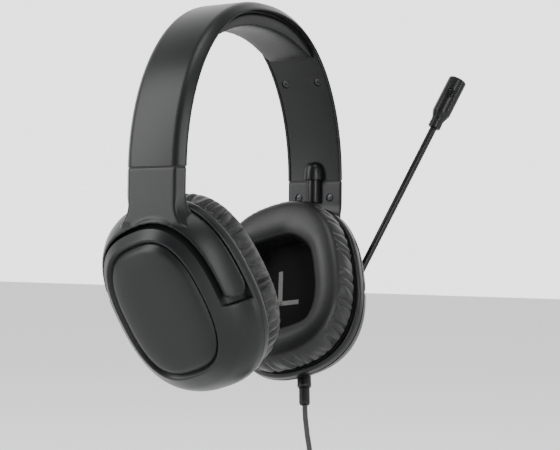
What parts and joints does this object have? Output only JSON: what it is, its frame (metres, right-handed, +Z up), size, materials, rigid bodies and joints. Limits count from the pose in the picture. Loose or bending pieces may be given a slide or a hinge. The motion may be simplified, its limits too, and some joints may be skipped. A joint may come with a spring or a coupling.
{
  "type": "gaming headset",
  "caption": "Over-ear wired headset: sprung headband with sliding yokes, hinged cups with soft cushions, and a swinging microphone boom on the left cup.",
  "frame": {"origin": "middle of the crown pad's underside, where the headset rests on a head", "axes": "+Z up, +X to the wearer's left, -Y the way the wearer faces"},
  "size_m": [0.2113, 0.112, 0.3331],
  "materials": {
    "black_shell": "satin moulded ABS, almost black",
    "black_inner": "fine matt texture, almost black",
    "black_gloss": "polished black",
    "leatherette": "smooth black leatherette over foam",
    "speaker_fabric": "thin black knitted speaker cloth",
    "spring_steel": "plain spring steel",
    "black_screw": "black oxide steel, cross recess",
    "soft_rubber": "black elastomer",
    "braided_cord": "black braided nylon sleeve",
    "circuit_board": "green solder mask on glass epoxy",
    "gold_contacts": "gold-plated brass"
  },
  "bodies": {
    "headband": {"headband_shell": "black_shell", "headband_inner_cover": "black_inner", "spring_band": "spring_steel", "crown_pad_board": "black_inner", "crown_pad": "leatherette", "cable_hood_left": "black_gloss", "cable_hood_right": "black_gloss", "headband_screw_left_front": "black_screw", "headband_screw_left_rear": "black_screw", "headband_screw_right_front": "black_screw", "headband_screw_right_rear": "black_screw"},
    "yoke_left": {"yoke_cover_left": "black_shell", "yoke_liner_left": "black_inner", "guide_tube_left": "black_gloss", "slider_strip_left": "spring_steel", "yoke_screw_left_front": "black_screw", "yoke_screw_left_rear": "black_screw"},
    "cup_left": {"cup_housing_left": "black_shell", "cup_cap_left": "black_shell", "baffle_left": "black_inner", "cushion_ring_left": "black_inner", "ear_cushion_left": "leatherette", "speaker_cloth_left": "speaker_fabric", "driver_frame_left": "black_inner", "driver_magnet_left": "spring_steel", "pivot_pin_left_front": "spring_steel", "pivot_pin_left_rear": "spring_steel", "volume_control": "spring_steel", "circuit_board": "circuit_board", "relief_collar": "soft_rubber", "relief_sleeve": "soft_rubber", "cable_lead": "braided_cord", "cable_coil": "braided_cord", "cable_tail": "braided_cord", "cable_tie": "soft_rubber", "plug_body": "soft_rubber", "plug_pin": "gold_contacts"},
    "yoke_right": {"yoke_cover_right": "black_shell", "yoke_liner_right": "black_inner", "guide_tube_right": "black_gloss", "slider_strip_right": "spring_steel", "yoke_screw_right_front": "black_screw", "yoke_screw_right_rear": "black_screw"},
    "cup_right": {"cup_housing_right": "black_shell", "cup_cap_right": "black_shell", "baffle_right": "black_inner", "cushion_ring_right": "black_inner", "ear_cushion_right": "leatherette", "speaker_cloth_right": "speaker_fabric", "driver_frame_right": "black_inner", "driver_magnet_right": "spring_steel", "pivot_pin_right_front": "spring_steel", "pivot_pin_right_rear": "spring_steel"},
    "mic_boom": {"boom_hub": "black_inner", "boom_rod": "soft_rubber", "mic_shell": "black_inner", "mic_capsule": "spring_steel"},
    "volume_wheel": {"volume_wheel": "black_inner"}
  },
  "joints": [
    {"name": "left_slider", "type": "slide", "parent": "headband", "child": "yoke_left", "axis": [0, 0, -1], "range_m": [0, 0.015]},
    {"name": "left_cup_hinge", "type": "hinge", "parent": "yoke_left", "child": "cup_left", "pos_m": [0.06246, -0.0013, -0.1312], "axis": [0, -1, 0], "range_deg": [0, 14]},
    {"name": "right_slider", "type": "slide", "parent": "headband", "child": "yoke_right", "axis": [0, 0, -1], "range_m": [0, 0.015]},
    {"name": "right_cup_hinge", "type": "hinge", "parent": "yoke_right", "child": "cup_right", "pos_m": [-0.06246, -0.0013, -0.1312], "axis": [0, 1, 0], "range_deg": [0, 14]},
    {"name": "boom_hinge", "type": "hinge", "parent": "cup_left", "child": "mic_boom", "pos_m": [0.07185, -0.0145, -0.15482], "axis": [0.9361, 0, -0.3518], "range_deg": [-20, 100]},
    {"name": "volume_turn", "type": "hinge", "parent": "cup_left", "child": "volume_wheel", "pos_m": [0.05378, 0.02625, -0.15657], "axis": [0.9361, 0, -0.3518], "range_deg": [-140, 140]}
  ]
}
